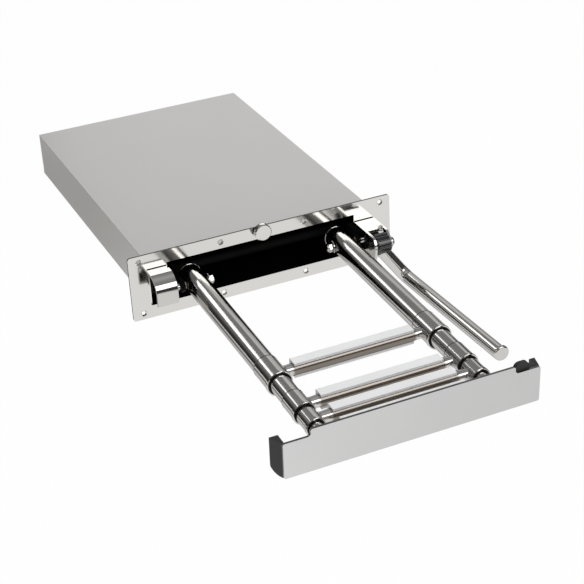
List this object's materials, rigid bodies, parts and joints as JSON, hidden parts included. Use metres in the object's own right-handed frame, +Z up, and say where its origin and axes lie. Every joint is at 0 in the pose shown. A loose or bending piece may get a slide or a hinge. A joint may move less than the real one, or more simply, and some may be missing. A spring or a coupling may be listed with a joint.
{
  "type": "retractable telescopic boat ladder",
  "caption": "Telescopic steel boarding ladder that slides out of a flat cassette behind a mounting flange, with a cover plate and a folding grab handle.",
  "frame": {"origin": "centre of the four corner holes, on the flange's back face", "axes": "+Z up, +Y into the cassette, +X to the right seen from the ladder's side"},
  "size_m": [0.408, 0.977, 0.116],
  "materials": {
    "brushed_sheet": "satin stainless sheet",
    "polished_plate": "mirror-polished stainless plate",
    "polished_tube": "polished stainless tube",
    "polished_bar": "polished stainless flattened tube",
    "cover_sheet": "fine satin stainless plate",
    "turned_steel": "polished turned stainless",
    "white_tread": "white ribbed plastic",
    "white_plastic": "white acetal",
    "black_rubber": "matt black rubber",
    "black_plastic": "satin black plastic"
  },
  "bodies": {
    "cassette": {"cassette_top": "brushed_sheet", "cassette_bottom": "brushed_sheet", "cassette_left_side": "brushed_sheet", "cassette_right_side": "brushed_sheet", "cassette_back": "brushed_sheet", "flange_plate": "polished_plate", "hook_left": "polished_plate", "handle_bracket": "polished_plate", "guide_left": "brushed_sheet", "guide_right": "brushed_sheet", "knob_base": "turned_steel"},
    "carriage": {"carriage_frame": "brushed_sheet", "roller_left": "white_plastic", "roller_right": "white_plastic", "pivot_pin_left": "turned_steel", "pivot_pin_right": "turned_steel"},
    "ladder": {"rail_1_left": "polished_tube", "rail_1_right": "polished_tube", "ring_1_left": "black_rubber", "ring_1_right": "black_rubber", "step_1_bar": "polished_bar", "step_1_tread": "white_tread"},
    "section_2": {"rail_2_left": "polished_tube", "rail_2_right": "polished_tube", "ring_2_left": "black_rubber", "ring_2_right": "black_rubber", "step_2_bar": "polished_bar", "step_2_tread": "white_tread"},
    "section_3": {"rail_3_left": "polished_tube", "rail_3_right": "polished_tube", "ring_3_left": "black_rubber", "ring_3_right": "black_rubber", "step_3_bar": "polished_bar", "step_3_tread": "white_tread"},
    "section_4": {"rail_4_left": "polished_tube", "rail_4_right": "polished_tube", "step_4_bar": "polished_bar", "step_4_tread": "white_tread", "cover_plate": "cover_sheet", "end_block_left": "black_rubber", "end_block_right": "black_rubber"},
    "handle": {"handle_tube": "polished_tube", "handle_hub": "black_plastic", "handle_cap": "polished_tube"},
    "knob": {"lock_knob": "turned_steel"}
  },
  "joints": [
    {"name": "carriage_slide", "type": "slide", "parent": "cassette", "child": "carriage", "axis": [0, -1, 0], "range_m": [-0.35, 0]},
    {"name": "ladder_hinge", "type": "hinge", "parent": "carriage", "child": "ladder", "pos_m": [0, -0.0265, 0.0014], "axis": [1, 0, 0], "range_deg": [-2, 88]},
    {"name": "section_2_slide", "type": "slide", "parent": "ladder", "child": "section_2", "axis": [0, -0.9994, -0.0349], "range_m": [0, 0.202]},
    {"name": "section_3_slide", "type": "slide", "parent": "section_2", "child": "section_3", "axis": [0, -0.9994, -0.0349], "range_m": [0, 0.246]},
    {"name": "section_4_slide", "type": "slide", "parent": "section_3", "child": "section_4", "axis": [0, -0.9994, -0.0349], "range_m": [0, 0.248]},
    {"name": "handle_hinge", "type": "hinge", "parent": "cassette", "child": "handle", "pos_m": [0.159, -0.058, 0.004], "axis": [-1, 0, 0], "range_deg": [0, 90]},
    {"name": "lock_knob_turn", "type": "hinge", "parent": "cassette", "child": "knob", "pos_m": [-0.003, -0.003, 0.0445], "axis": [0, -1, 0], "range_deg": [0, 90]}
  ]
}
